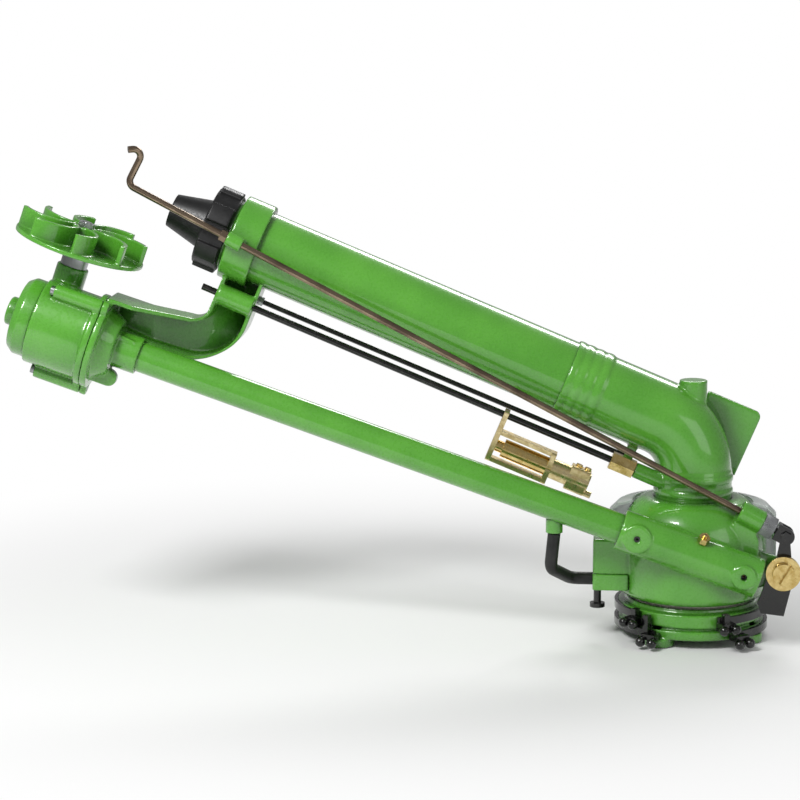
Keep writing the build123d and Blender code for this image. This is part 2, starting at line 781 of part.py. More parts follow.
with BuildPart() as front_bracket:
    extrude(arm_outline(0), amount=drive_side * 2, both=True)
    extrude(arm_plan(-arm_half_width, arm_half_width), amount=elbow_height * 3, mode=Mode.INTERSECT)
    add(arm_pocket.part, mode=Mode.SUBTRACT)
    with BuildSketch(feed_line.offset(arm_rear + 2)):
        Circle(arm_boss_radius)
    extrude(amount=arm_front - arm_rear - 4)
    with BuildSketch(barrel_line.offset(collar_start)):
        Circle(collar_radius)
    extrude(amount=collar_front - collar_start)
    with BuildSketch(barrel_line.offset(collar_front)):
        Circle(thread_radius)
    extrude(amount=thread_end - collar_front)
    with BuildSketch(drive_line.offset(socket_mouth)):
        Circle(socket_radius)
    extrude(amount=gearbox_flange - socket_mouth)
    with BuildSketch(drive_line.offset(gearbox_flange)):
        Circle(gearbox_radius)
        with Locations(*gearbox_lugs):
            Circle(gearbox_lug_radius)
    extrude(amount=flange_plate)
    with BuildSketch(drive_line.offset(gearbox_flange - 18)):
        Circle(socket_radius + 12)
    extrude(amount=18, taper=-30)
    with BuildSketch(rod_line.offset(rod_boss_start)):
        Circle(rod_boss_radius)
        with Locations((-rod_boss_radius - 2, 0)):
            Rectangle(rod_boss_radius * 2, rod_boss_radius * 1.4)
    extrude(amount=rod_boss_length)
    # lug for a bolt under the tube socket
    with BuildSketch(drive_profile.offset(-bolt_lug_near)):
        with Locations((bolt_lug_place, -bolt_lug_drop)):
            Circle(bolt_lug_radius)
        with Locations(((bolt_lug_place + gearbox_flange) / 2, -bolt_lug_drop)):
            Rectangle(gearbox_flange - bolt_lug_place + 2, 2 * bolt_lug_radius)
    extrude(amount=bolt_lug_thickness)
    # flat front, then bores for the barrel, the waterway, the drive tube, the shaft and the rods
    with BuildSketch(drive_line.offset(gearbox_flange + flange_plate)):
        Rectangle(gearbox_radius * 4, gearbox_radius * 4)
    extrude(amount=gearbox_radius, mode=Mode.SUBTRACT)
    with BuildSketch(barrel_line.offset(collar_start - 30)):
        Circle(barrel_radius + seat_gap)
    extrude(amount=collar_front - 6 - collar_start + 30, mode=Mode.SUBTRACT)
    with BuildSketch(barrel_line.offset(collar_start)):
        Circle(waterway_radius)
    extrude(amount=thread_end - collar_start, mode=Mode.SUBTRACT)
    with BuildSketch(drive_line.offset(socket_mouth - 80)):
        Circle(tube_radius + seat_gap)
    extrude(amount=tube_insert + 80, mode=Mode.SUBTRACT)
    with BuildSketch(drive_line.offset(socket_mouth)):
        Circle(bush_radius + seat_gap)
    extrude(amount=gearbox_flange + flange_plate - socket_mouth, mode=Mode.SUBTRACT)
    for rod, radius in ((feed_line, feed_tube_radius), (tie_line, tie_rod_radius)):
        with BuildSketch(rod.offset(arm_rear - 10)):
            Circle(radius + seat_gap)
        extrude(amount=arm_front - arm_rear + 20, mode=Mode.SUBTRACT)
    with BuildSketch(rod_line.offset(rod_boss_start)):
        Circle(rod_radius + running_gap)
    extrude(amount=rod_boss_length, mode=Mode.SUBTRACT)
    with BuildSketch(drive_line.offset(gearbox_flange)):
        with Locations(*gearbox_lugs):
            Circle(gearbox_bolt_radius + seat_gap)
    extrude(amount=flange_plate, mode=Mode.SUBTRACT)
finish(front_bracket, "front_bracket", "limegreen")

# Nozzle, its gasket and the ring nut with gripping lugs
flange_start = thread_end + gasket_thickness
nozzle_throat = waterway_radius - 0.4

with BuildPart() as nozzle:
    with BuildSketch(barrel_side):
        with BuildLine():
            Polyline(
                (nozzle_inlet, nozzle_throat),
                (flange_start, nozzle_throat - 6),
                (flange_start, thread_radius),
                (flange_start + nozzle_flange, thread_radius),
                (flange_start + nozzle_flange, nozzle_throat - 8.4),
                (nozzle_tip - 3, nozzle_tip_radius + 0.6),
                (nozzle_tip, nozzle_tip_radius),
                (nozzle_tip, jet_radius),
                (nozzle_tip - nozzle_wall, jet_radius),
                (nozzle_inlet, nozzle_throat - nozzle_wall / 2),
                close=True,
            )
        make_face()
    revolve(axis=Axis(barrel_line.origin, barrel_line.z_dir))
finish(nozzle, "nozzle", "black")

with BuildPart() as nozzle_gasket:
    with BuildSketch(barrel_line.offset(thread_end + seat_gap)):
        Circle(thread_radius - 0.5)
        Circle(nozzle_throat - 4, mode=Mode.SUBTRACT)
    extrude(amount=gasket_thickness - 2 * seat_gap)
finish(nozzle_gasket, "nozzle_gasket", "darkred")

with BuildPart() as nozzle_nut:
    with BuildSketch(barrel_line.offset(nut_start)):
        Circle(nut_ring_radius)
    extrude(amount=nut_front - nut_start)
    with BuildSketch(barrel_line.offset(nut_lug_start)):
        with PolarLocations(nut_lug_radius - 8, nut_lug_count, start_angle=90):
            Rectangle(16, nut_lug_width)
        Circle(nut_lug_radius, mode=Mode.INTERSECT)
    extrude(amount=nut_lug_end - nut_lug_start)
    with BuildSketch(barrel_line.offset(nut_start)):
        Circle(thread_radius + seat_gap)
    extrude(amount=flange_start + nozzle_flange + seat_gap - nut_start, mode=Mode.SUBTRACT)
    with BuildSketch(barrel_line.offset(nut_start)):
        Circle(nozzle_throat - 8)
    extrude(amount=nut_front - nut_start, mode=Mode.SUBTRACT)
finish(nozzle_nut, "nozzle_nut", "black")

# Drive tube and the shaft that runs inside it
with BuildPart() as drive_tube:
    with BuildSketch(drive_line.offset(boss_front - tube_insert + seat_gap)):
        Circle(tube_radius)
        Circle(tube_radius - tube_wall, mode=Mode.SUBTRACT)
    extrude(amount=socket_mouth - boss_front + 2 * tube_insert - 2 * seat_gap)
finish(drive_tube, "drive_tube", "limegreen")

rear_bush_start = -bush_length - 48
front_bush_start = 48 + seat_gap
bracket_bush_start = gearbox_flange + flange_plate - bush_length
cap_bush_start = cap_joint + cap_length - cap_flange
shaft_start = rear_bush_start + free_gap
shaft_end = cap_bush_start + bush_length - free_gap
with BuildPart() as shaft_bushes:
    for bush_start in (rear_bush_start, front_bush_start, bracket_bush_start, cap_bush_start):
        with BuildSketch(drive_line.offset(bush_start)):
            Circle(bush_radius)
            Circle(shaft_radius + running_gap, mode=Mode.SUBTRACT)
        extrude(amount=bush_length)
finish(shaft_bushes, "shaft_bushes", "goldenrod")

with BuildPart() as drive_shaft:
    with BuildSketch(drive_line.offset(shaft_start)):
        Circle(shaft_radius)
    extrude(amount=shaft_end - shaft_start)
finish(drive_shaft, "drive_shaft", "silver")


def worm(line, length, turns, tip, depth, pitch, bore):
    """Worm centred on a line's origin: a bored cylinder with a right-hand thread wound round it."""
    root = tip - depth
    thread_start = on_line(line, -turns * pitch / 2)
    with BuildPart() as screw:
        with BuildSketch(line.offset(-length / 2)):
            Circle(root)
        extrude(amount=length)
        with BuildLine() as winding:
            Helix(pitch, turns * pitch, root, center=thread_start, direction=line.z_dir)
        begin = winding.line @ 0
        outward = (begin - thread_start).normalized()
        with BuildSketch(Plane(origin=begin, x_dir=outward, z_dir=winding.line % 0)):
            with Locations((depth / 2 - thread_sink / 2, 0)):
                Trapezoid(pitch / 2, depth + thread_sink, thread_flank, rotation=-90)
        sweep(path=winding.line, is_frenet=True)
        with BuildSketch(line.offset(-length / 2)):
            Circle(bore)
        extrude(amount=length, mode=Mode.SUBTRACT)
    return screw


drive_worm = worm(
    drive_line, worm_length, drive_worm_turns, worm_radius, thread_height, worm_pitch,
    shaft_radius + seat_gap,
)
finish(drive_worm, "drive_worm", "silver")

# Gearbox: worm wheel on the drive shaft, worm on the turbine wheel's shaft
tooth_pitch = 2 * pi * worm_wheel_radius / worm_wheel_teeth
wheel_tooth_base = (tooth_pitch - mesh_slack) / 2 + thread_sink
top_worm_radius = -wheel_shaft_side - worm_wheel_radius + tooth_depth / 2 - mesh_slack / 3
with BuildPart() as worm_wheel:
    with BuildSketch(drive_line.offset(wheel_line_place - worm_wheel_width / 2)):
        Circle(worm_wheel_radius - tooth_depth / 2)
        with PolarLocations(worm_wheel_radius - thread_sink / 2, worm_wheel_teeth, start_angle=180):
            Trapezoid(wheel_tooth_base, tooth_depth + thread_sink, wheel_tooth_flank, rotation=-90)
        Circle(shaft_radius + seat_gap, mode=Mode.SUBTRACT)
    extrude(amount=worm_wheel_width)
finish(worm_wheel, "worm_wheel", "goldenrod")

gearbox_worm = worm(
    wheel_line, top_worm_length, top_worm_turns, top_worm_radius, tooth_depth, tooth_pitch,
    wheel_journal_radius + seat_gap,
)
finish(gearbox_worm, "gearbox_worm", "silver")

# Gearbox case with the neck for the wheel shaft, and the cap on its front
case_rear = gearbox_flange + flange_plate
case_cavity = case_radius - gearbox_wall
spigot_radius = case_cavity - 7
spigot_length = 2.5
case_lug_front = 801.0
neck_foot = 18.0
neck_full = 46.0
boss_foot = -31.0
lower_bush_top = lower_bush_place + wheel_bush_length
upper_bush_start = neck_top - wheel_bush_length

with BuildPart() as gearbox_case:
    with BuildSketch(drive_line.offset(case_rear + seat_gap)):
        Circle(gearbox_radius)
    extrude(amount=case_flange)
    with BuildSketch(drive_line.offset(case_rear + seat_gap)):
        Circle(case_radius)
    extrude(amount=cap_joint - case_rear - seat_gap)
    with BuildSketch(drive_line.offset(case_rear + seat_gap)):
        with Locations(*gearbox_lugs):
            Circle(gearbox_lug_radius)
    extrude(amount=case_lug_front - case_rear)
    with BuildSketch(wheel_line.offset(neck_foot)):
        Circle(wheel_neck_radius)
        with Locations((0, wheel_neck_radius - cap_joint + wheel_line_place)):
            Rectangle(wheel_neck_radius * 3, wheel_neck_radius * 2, mode=Mode.INTERSECT)
    extrude(amount=neck_full - neck_foot)
    with BuildSketch(wheel_line.offset(neck_full)):
        Circle(wheel_neck_radius)
    extrude(amount=neck_top - neck_full)
    with BuildSketch(drive_line.offset(case_rear)):
        Circle(case_cavity)
    extrude(amount=cap_joint - case_rear - gearbox_wall, mode=Mode.SUBTRACT)
    with BuildSketch(drive_line.offset(cap_joint - gearbox_wall)):
        Circle(spigot_radius)
    extrude(amount=gearbox_wall, mode=Mode.SUBTRACT)
    with BuildSketch(wheel_line.offset(boss_foot)):
        Circle(wheel_bush_radius + 3.5)
    extrude(amount=lower_bush_top - boss_foot)
    with BuildSketch(wheel_line.offset(lower_bush_place)):
        Circle(wheel_bush_radius + seat_gap)
    extrude(amount=neck_top - lower_bush_place, mode=Mode.SUBTRACT)
    with BuildSketch(drive_line.offset(case_rear)):
        with Locations(*gearbox_lugs):
            Circle(gearbox_bolt_radius + seat_gap)
    extrude(amount=case_lug_front - case_rear + 1, mode=Mode.SUBTRACT)
finish(gearbox_case, "gearbox_case", "limegreen")

with BuildPart() as gearbox_cap:
    with BuildSketch(drive_profile):
        with BuildLine():
            Polyline(
                (cap_joint - spigot_length, spigot_radius - seat_gap),
                (cap_joint + seat_gap, spigot_radius - seat_gap),
                (cap_joint + seat_gap, cap_radius),
                (cap_joint + cap_length - 8, cap_radius),
                (cap_joint + cap_length, cap_radius - 6),
                (cap_joint + cap_length, hub_boss_radius),
                (cap_joint + cap_length + hub_boss_length - 2, hub_boss_radius),
                (cap_joint + cap_length + hub_boss_length, hub_boss_radius - 2),
                (cap_joint + cap_length + hub_boss_length, 0),
                (cap_bush_start + bush_length, 0),
                (cap_bush_start + bush_length, bush_radius + seat_gap),
                (cap_bush_start, bush_radius + seat_gap),
                (cap_bush_start, spigot_radius - gearbox_wall),
                (cap_joint - spigot_length, spigot_radius - gearbox_wall),
                close=True,
            )
        make_face()
    revolve(axis=Axis(drive_line.origin, drive_line.z_dir))
finish(gearbox_cap, "gearbox_cap", "limegreen")

with BuildPart() as gearbox_screws:
    with BuildSketch(drive_line.offset(gearbox_flange)):
        with Locations(*gearbox_lugs):
            Circle(gearbox_bolt_radius)
    extrude(amount=case_lug_front - gearbox_flange + 2 * seat_gap)
    with BuildSketch(drive_line.offset(case_lug_front + 2 * seat_gap)):
        with Locations(*gearbox_lugs):
            Circle(gearbox_screw_head)
    extrude(amount=gearbox_bolt_radius * 1.5)
finish(gearbox_screws, "gearbox_screws", "gray")

# Turbine wheel, its shaft, bushes, seal collar and nut
wheel_hub_start = collar_top + 2
wheel_hub_end = wheel_disc_height + wheel_hub_height
wheel_nut_height = 7.0
wheel_nut_radius = 10.0

with BuildPart() as wheel_bushes:
    with BuildSketch(wheel_line.offset(lower_bush_place)):
        Circle(wheel_bush_radius)
        Circle(wheel_journal_radius + running_gap, mode=Mode.SUBTRACT)
    extrude(amount=wheel_bush_length)
    with BuildSketch(wheel_line.offset(upper_bush_start)):
        Circle(wheel_bush_radius)
        Circle(wheel_shaft_radius + running_gap, mode=Mode.SUBTRACT)
    extrude(amount=wheel_bush_length)
finish(wheel_bushes, "wheel_bushes", "goldenrod")

with BuildPart() as shaft_collar:
    with BuildSketch(wheel_line.offset(neck_top + seat_gap)):
        Circle(shaft_collar_radius)
        Circle(wheel_shaft_radius + running_gap, mode=Mode.SUBTRACT)
    extrude(amount=collar_top - neck_top)
finish(shaft_collar, "shaft_collar", "gray")

with BuildPart() as wheel_shaft:
    with BuildSketch(wheel_line.offset(lower_bush_place + free_gap)):
        Circle(wheel_journal_radius)
    extrude(amount=top_worm_length / 2 - lower_bush_place)
    with BuildSketch(wheel_line.offset(top_worm_length / 2 + seat_gap)):
        Circle(wheel_shaft_radius)
    extrude(amount=wheel_hub_end + wheel_nut_height - top_worm_length / 2)
finish(wheel_shaft, "wheel_shaft", "silver")

with BuildPart() as wheel_nut:
    with BuildSketch(wheel_line.offset(wheel_hub_end + seat_gap)):
        RegularPolygon(wheel_nut_radius, 6)
        Circle(wheel_shaft_radius + seat_gap, mode=Mode.SUBTRACT)
    extrude(amount=wheel_nut_height - 1)
finish(wheel_nut, "wheel_nut", "gray")


def wheel_vane():
    """Plan of one curved cup vane of the turbine wheel, from the hub to the rim."""
    with BuildSketch() as vane:
        with BuildLine():
            outer = ThreePointArc((wheel_hub_radius - 3, 4), (46, 25), (wheel_radius - 1, 6))
            rim = Line(outer @ 1, (wheel_radius - wheel_vane_wall - 1, 3))
            inner = ThreePointArc(rim @ 1, (45, 25 - wheel_vane_wall), (wheel_hub_radius - 3, -2))
            Line(inner @ 1, outer @ 0)
        make_face()
    return vane.sketch


with BuildPart() as turbine_wheel:
    with BuildSketch(wheel_line.offset(wheel_disc_height)):
        Circle(wheel_radius)
    extrude(amount=wheel_disc)
    with BuildSketch(wheel_line.offset(wheel_hub_start)):
        Circle(wheel_hub_radius)
    extrude(amount=wheel_hub_end - wheel_hub_start)
    with BuildSketch(wheel_line.offset(wheel_disc_height + wheel_disc)):
        with PolarLocations(0, vane_count):
            add(wheel_vane())
    extrude(amount=wheel_vane_height - wheel_disc)
    with BuildSketch(wheel_line.offset(wheel_hub_start)):
        Circle(wheel_shaft_radius + seat_gap)
    extrude(amount=wheel_hub_end - wheel_hub_start, mode=Mode.SUBTRACT)
finish(turbine_wheel, "turbine_wheel", "limegreen")

# Set screws over the bushes, and the grease nipple
with BuildPart() as bush_screws:
    for place, depth in (pad_front, pad_rear):
        with BuildSketch(Plane.XZ.offset(drive_side + depth + free_gap)):
            with Locations(place):
                Circle(set_screw_radius)
                RegularPolygon(set_screw_radius / 2, 6, mode=Mode.SUBTRACT)
        extrude(amount=set_screw_length)
finish(bush_screws, "bush_screws", "black")

with BuildPart() as grease_nipple:
    with BuildSketch(nipple_line.offset(boss_radius - 6)):
        Circle(nipple_radius)
    extrude(amount=nipple_top - boss_radius + 6)
    with BuildSketch(nipple_line.offset(boss_radius + seat_gap)):
        RegularPolygon(nipple_hex_radius, 6)
    extrude(amount=nipple_top - boss_radius - 4)
    with BuildSketch(nipple_line.offset(boss_radius - 6)):
        Circle(nipple_radius / 3)
    extrude(amount=nipple_top - boss_radius + 6, mode=Mode.SUBTRACT)
finish(grease_nipple, "grease_nipple", "goldenrod")

# Translucent rear cover with the tabs that hold it to the turret
cover_side = Plane(
    origin=(0, 0, 0),
    x_dir=(cos(radians(cover_start)), sin(radians(cover_start)), 0),
    z_dir=(sin(radians(cover_start)), -cos(radians(cover_start)), 0),
)
tab_bottom = cover_bottom + 2
with BuildPart() as rear_cover:
    with BuildSketch(cover_side):
        with BuildLine():
            Polyline(
                (cover_rim_radius, cover_top),
                (cover_radius - 10, cover_top - 4),
                (cover_radius - 1, cover_shoulder - 2),
                (cover_radius, cover_shoulder - 15),
                (cover_radius, cover_bottom),
                (cover_radius - cover_wall, cover_bottom),
                (cover_radius - cover_wall, cover_shoulder - 15),
                (cover_radius - 1 - cover_wall, cover_shoulder - 3),
                (cover_radius - 11, cover_top - 4 - cover_wall),
                (cover_rim_radius, cover_top - cover_wall),
                close=True,
            )
        make_face()
    revolve(axis=Axis.Z, revolution_arc=cover_sweep)
    with BuildSketch(Plane.XY.offset(tab_bottom)):
        for tab_angle in cover_tabs:
            with Locations(Rotation(0, 0, tab_angle)):
                with Locations((cover_radius - 8, 0)):
                    Rectangle(14, cover_tab_width)
        Circle(turret_radius + 1 + seat_gap, mode=Mode.SUBTRACT)
    extrude(amount=cover_tab_height)
finish(rear_cover, "rear_cover", "whitesmoke")

# Lower half of the latch box, its adjuster bolt, and the moulded rubber elbow with its fitting
with BuildPart() as latch_cap:
    with BuildSketch(Plane.XY.offset(box_low)):
        with Locations((-(box_outer + cavity_radius) / 2 + 4, -(box_near + box_far) / 2)):
            RectangleRounded(box_outer - cavity_radius + 8, box_near - box_far, 4)
        Circle(turret_radius + 1 + seat_gap, mode=Mode.SUBTRACT)
        with Locations((adjuster_x, adjuster_y)):
            Circle(bolt_radius + seat_gap, mode=Mode.SUBTRACT)
    extrude(amount=box_groove_height - box_low - seat_gap)
finish(latch_cap, "latch_cap", "limegreen")

with BuildPart() as adjuster_bolt:
    with BuildSketch(Plane.XY.offset(bolt_drop)):
        with Locations((adjuster_x, adjuster_y)):
            Circle(bolt_head_radius)
    extrude(amount=bolt_head)
    with BuildSketch(Plane.XY.offset(bolt_drop)):
        with Locations((adjuster_x, adjuster_y)):
            Circle(bolt_radius)
    extrude(amount=box_groove_height + adjuster_depth - bolt_drop - free_gap)
finish(adjuster_bolt, "adjuster_bolt", "black")

with BuildPart() as hose_fitting:
    with BuildSketch(Plane.XY.offset(fitting_bottom)):
        with Locations((hose_top[0], hose_top[1])):
            Circle(fitting_radius)
    extrude(amount=fitting_height)
    with BuildSketch(drive_line):
        Circle(tube_radius + seat_gap)
    extrude(amount=socket_mouth, mode=Mode.SUBTRACT)
finish(hose_fitting, "hose_fitting", "limegreen")

with BuildPart() as bypass_elbow:
    with BuildLine() as hose_path:
        FilletPolyline(
            hose_top,
            (hose_top[0] - 4, hose_top[1] + 4, hose_height + 22),
            (-box_outer - 26, hose_side, hose_height),
            (-box_outer - seat_gap, hose_side, hose_height),
            radius=hose_bend_radius,
        )
    with BuildSketch(Plane(origin=hose_path.line @ 0, z_dir=hose_path.line % 0)):
        Circle(hose_radius)
    sweep(path=hose_path.line)
finish(bypass_elbow, "bypass_elbow", "black")

# Trip lever, its brass pivot and the link to the jet breaker
lever_far = rod_side - lever_thickness / 2
pivot = (lever_pivot_x, lever_pivot_z)
slot_reach = ((slot_low + slot_high) / 2, slot_high - slot_low + 2 * fork_bolt_radius + 2 * slot_clearance)
slot_turn = 90 - slot_lean

with BuildPart() as trip_lever:
    with BuildSketch(Plane.XZ.offset(lever_far)):
        with Locations(pivot):
            Circle(lever_hub_radius)
            with Locations(Rotation(0, 0, slot_turn)):
                with Locations((slot_reach[0] / 2 + 2, 0)):
                    Trapezoid(lever_arm_width, slot_reach[0] + 4, 82, rotation=-90)
                with Locations((slot_high, 0)):
                    Circle(slot_wall)
        with BuildLine():
            Polyline(*lever_tail, close=True)
        make_face()
        with Locations(pivot):
            Circle(knob_shank_radius + running_gap, mode=Mode.SUBTRACT)
            with Locations(Rotation(0, 0, slot_turn)):
                with Locations((slot_reach[0], 0)):
                    SlotOverall(slot_reach[1], 2 * (fork_bolt_radius + slot_clearance), mode=Mode.SUBTRACT)
    extrude(amount=lever_thickness)
finish(trip_lever, "trip_lever", "black")

knob_far = rod_side + lever_thickness / 2 + free_gap
with BuildPart() as lever_pivot:
    with BuildSketch(Plane.XZ.offset(rod_side - 15)):
        with Locations(pivot):
            Circle(knob_shank_radius)
    extrude(amount=knob_far - rod_side + 15)
    with BuildSketch(Plane.XZ.offset(knob_far)):
        with Locations(pivot):
            Circle(knob_radius)
    extrude(amount=knob_thickness)
    with BuildSketch(Plane.XZ.offset(knob_far + knob_thickness)):
        with Locations(pivot):
            Circle(knob_step_radius)
            Rectangle(knob_slot, knob_step_radius * 2, rotation=-30, mode=Mode.SUBTRACT)
    extrude(amount=knob_step)
finish(lever_pivot, "lever_pivot", "goldenrod")

with BuildPart() as link_fork:
    with BuildSketch(rod_profile.offset(-fork_width / 2)):
        with Locations((fork_place, 0)):
            Circle(fork_radius)
        with Locations(((fork_place + fork_base_end) / 2, 0)):
            Rectangle(fork_base_end - fork_place, fork_radius * 2)
    extrude(amount=fork_width)
    with BuildSketch(rod_profile.offset(-fork_width / 2 + fork_cheek)):
        with Locations((fork_base - fork_radius * 2, 0)):
            Rectangle(fork_radius * 4, fork_radius * 3)
    extrude(amount=fork_width - 2 * fork_cheek, mode=Mode.SUBTRACT)
    with BuildSketch(rod_profile.offset(-fork_width / 2)):
        with Locations((fork_place, 0)):
            Circle(fork_bolt_radius + seat_gap)
    extrude(amount=fork_width, mode=Mode.SUBTRACT)
    with BuildSketch(rod_line.offset(fork_base_end)):
        Circle(rod_radius)
    extrude(amount=spindle_end - fork_base_end)
finish(link_fork, "link_fork", "black")

with BuildPart() as fork_bolt:
    with BuildSketch(rod_profile.offset(-fork_width / 2 - 1)):
        with Locations((fork_place, 0)):
            Circle(fork_bolt_radius)
    extrude(amount=fork_width + 2)
    for head in (-fork_width / 2 - 4 - seat_gap, fork_width / 2 + seat_gap):
        with BuildSketch(rod_profile.offset(head)):
            with Locations((fork_place, 0)):
                RegularPolygon(fork_bolt_radius * 1.9, 6)
        extrude(amount=4)
finish(fork_bolt, "fork_bolt", "black")

with BuildPart() as link_nut:
    with BuildSketch(rod_line.offset(lug_boss_rear - seat_gap - link_nut_length)):
        Circle(link_nut_radius)
        Circle(rod_radius + running_gap, mode=Mode.SUBTRACT)
    extrude(amount=link_nut_length)
finish(link_nut, "link_nut", "gray")

# Jet breaker rod with its crank and hook, and the guide nut on the collar
with BuildPart() as jet_rod:
    with BuildLine() as rod_path:
        FilletPolyline(
            on_line(rod_line, rod_start),
            on_line(rod_line, rod_length),
            on_line(rod_line, rod_length, crank_length),
            on_line(rod_line, rod_length + hook_forward, crank_length - hook_down, hook_near),
            radius=rod_bend_radius,
        )
    with BuildSketch(rod_line.offset(rod_start)):
        Circle(rod_radius)
    sweep(path=rod_path.line)
finish(jet_rod, "jet_rod", "saddlebrown")

with BuildPart() as rod_guide_nut:
    with BuildSketch(rod_line.offset(rod_boss_start + rod_boss_length + seat_gap)):
        RegularPolygon(guide_nut_width / 2, 6)
        Circle(rod_radius + running_gap, mode=Mode.SUBTRACT)
    extrude(amount=guide_nut_height)
finish(rod_guide_nut, "rod_guide_nut", "saddlebrown")

# Feed tube with its brass nut, and the tie rod beside it
with BuildPart() as feed_tube:
    with BuildSketch(feed_line.offset(feed_rear - feed_nut_length / 2)):
        Circle(feed_tube_radius)
        Circle(feed_tube_radius - 1, mode=Mode.SUBTRACT)
    extrude(amount=feed_front - feed_rear + feed_nut_length / 2)
finish(feed_tube, "feed_tube", "black")

with BuildPart() as feed_nut:
    with BuildSketch(feed_line.offset(feed_rear - feed_nut_length + seat_gap)):
        RegularPolygon(feed_nut_radius, 6)
    extrude(amount=feed_nut_length)
    with BuildSketch(feed_line.offset(feed_rear - feed_nut_length / 2)):
        Circle(feed_tube_radius + seat_gap)
    extrude(amount=feed_nut_length, mode=Mode.SUBTRACT)
    with BuildSketch(feed_line.offset(feed_rear - feed_nut_length)):
        Circle(feed_tube_radius - 1)
    extrude(amount=feed_nut_length, mode=Mode.SUBTRACT)
finish(feed_nut, "feed_nut", "goldenrod")

tie_nut_height = 6.0
with BuildPart() as tie_rod:
    with BuildSketch(tie_line.offset(tie_rear - tie_lug_length + 1)):
        Circle(tie_rod_radius)
    extrude(amount=collar_start - 3 - tie_rear + tie_lug_length - 1)
finish(tie_rod, "tie_rod", "black")

with BuildPart() as tie_rod_nut:
    with BuildSketch(tie_line.offset(arm_rear - tie_nut_height - seat_gap)):
        RegularPolygon(tie_rod_radius * 1.9, 6)
        Circle(tie_rod_radius + seat_gap, mode=Mode.SUBTRACT)
    extrude(amount=tie_nut_height)
finish(tie_rod_nut, "tie_rod_nut", "gray")

# Brass needle valve: cage clamped on the feed tube, body, head and screws
with BuildPart() as valve_cage:
    # end plate that grips the feed tube, and the rear plate that holds the body
    for start, low, high in (
        (valve_front - cage_plate / 2, -cage_half_height - cage_thickness / 2, valve_drop - cage_top),
        (cage_rear, -cage_half_height - cage_thickness / 2, cage_half_height + cage_thickness / 2),
    ):
        with BuildSketch(valve_line.offset(start)):
            with Locations((0, (low + high) / 2)):
                RectangleRounded(cage_width, high - low, 2)
        extrude(amount=cage_plate)
    # straps above and below the body
    for height in (-cage_half_height, cage_half_height):
        with BuildSketch(valve_line.offset(cage_rear + 1)):
            with Locations((0, height)):
                Rectangle(cage_width - 6, cage_thickness)
        extrude(amount=valve_front - cage_rear - 1)
    with BuildSketch(feed_line.offset(valve_front - cage_plate / 2)):
        Circle(feed_tube_radius + seat_gap)
    extrude(amount=cage_plate, mode=Mode.SUBTRACT)
    with BuildSketch(valve_line.offset(cage_rear)):
        Circle(valve_body_radius + seat_gap)
    extrude(amount=cage_plate, mode=Mode.SUBTRACT)
finish(valve_cage, "valve_cage", "darkgoldenrod")

with BuildPart() as valve_body:
    with BuildSketch(valve_line.offset(cage_rear)):
        Circle(valve_body_radius)
    extrude(amount=valve_front - 12 - cage_rear)
    with BuildSketch(valve_line.offset(cage_rear)):
        Circle(valve_body_radius - 4)
    extrude(amount=valve_front - cage_plate / 2 - seat_gap - cage_rear)
finish(valve_body, "valve_body", "goldenrod")

with BuildPart() as valve_head:
    with BuildSketch(valve_line.offset(valve_rear + 8)):
        Circle(valve_head_radius)
    extrude(amount=cage_rear - seat_gap - valve_rear - 8)
    with BuildSketch(valve_line.offset(valve_rear + 10)):
        RectangleRounded(cage_width, 2 * valve_head_radius + 6, 3)
    extrude(amount=valve_head_length - 10)
    with BuildSketch(valve_line.offset(valve_rear)):
        with Locations((0, -valve_head_radius)):
            Circle(eye_radius)
            Circle(eye_radius / 2, mode=Mode.SUBTRACT)
    extrude(amount=12)
finish(valve_head, "valve_head", "darkgoldenrod")

with BuildPart() as valve_screws:
    for along in (valve_rear + 15, valve_rear + valve_head_length - 8):
        screw_seat = on_line(valve_line, along, valve_head_radius + 3 + seat_gap)
        with BuildSketch(Plane(origin=screw_seat, x_dir=valve_line.x_dir, z_dir=valve_line.y_dir)):
            Circle(4)
        extrude(amount=3)
finish(valve_screws, "valve_screws", "goldenrod")


# Sector stops: two sprung bands, open at the front, with finger ears and trip posts
def stop_band(middle, gap, ears, ear, ball_height, posts, post_top):
    """One stop band with its ears, balls and posts."""
    inner = drum_radius + band_clear
    outer = inner + band_wall
    with BuildPart() as band:
        with BuildSketch(Plane.XY.offset(middle - band_height / 2)):
            Circle(outer)
            Circle(inner, mode=Mode.SUBTRACT)
            corners = [direction(angle, 2 * outer) for angle in (gap[0], sum(gap) / 2, gap[1])]
            with BuildLine():
                Polyline((0, 0), *corners, close=True)
            make_face(mode=Mode.SUBTRACT)
        extrude(amount=band_height)
        for angle in posts:
            with BuildSketch(Plane.XY.offset(middle - band_height / 2)):
                with Locations(Rotation(0, 0, angle)):
                    with Locations(((outer - 0.5 + post_reach) / 2, 0)):
                        Rectangle(post_reach - outer + 0.5, post_width)
            extrude(amount=post_top - middle + band_height / 2)
        for angle in ears:
            with BuildSketch(Plane.XY.offset(ear[0])):
                with Locations(Rotation(0, 0, angle)):
                    with Locations(((inner + 1 + ear_reach) / 2, 0)):
                        Rectangle(ear_reach - inner - 1, ear_width)
            extrude(amount=ear[1] - ear[0])
            with Locations(Rotation(0, 0, angle)):
                with Locations(*((stop_ball_reach, side * stop_ball_spread, ball_height) for side in (-1, 1))):
                    Sphere(stop_ball_radius)
    return band


upper_stop = stop_band(
    upper_band_middle, upper_gap, upper_ears, upper_ear, upper_ball_height, upper_posts, upper_post_top
)
finish(upper_stop, "upper_stop", "black")
lower_stop = stop_band(
    lower_band_middle, lower_gap, lower_ears, lower_ear, lower_ball_height, lower_posts, lower_post_top
)
finish(lower_stop, "lower_stop", "black")
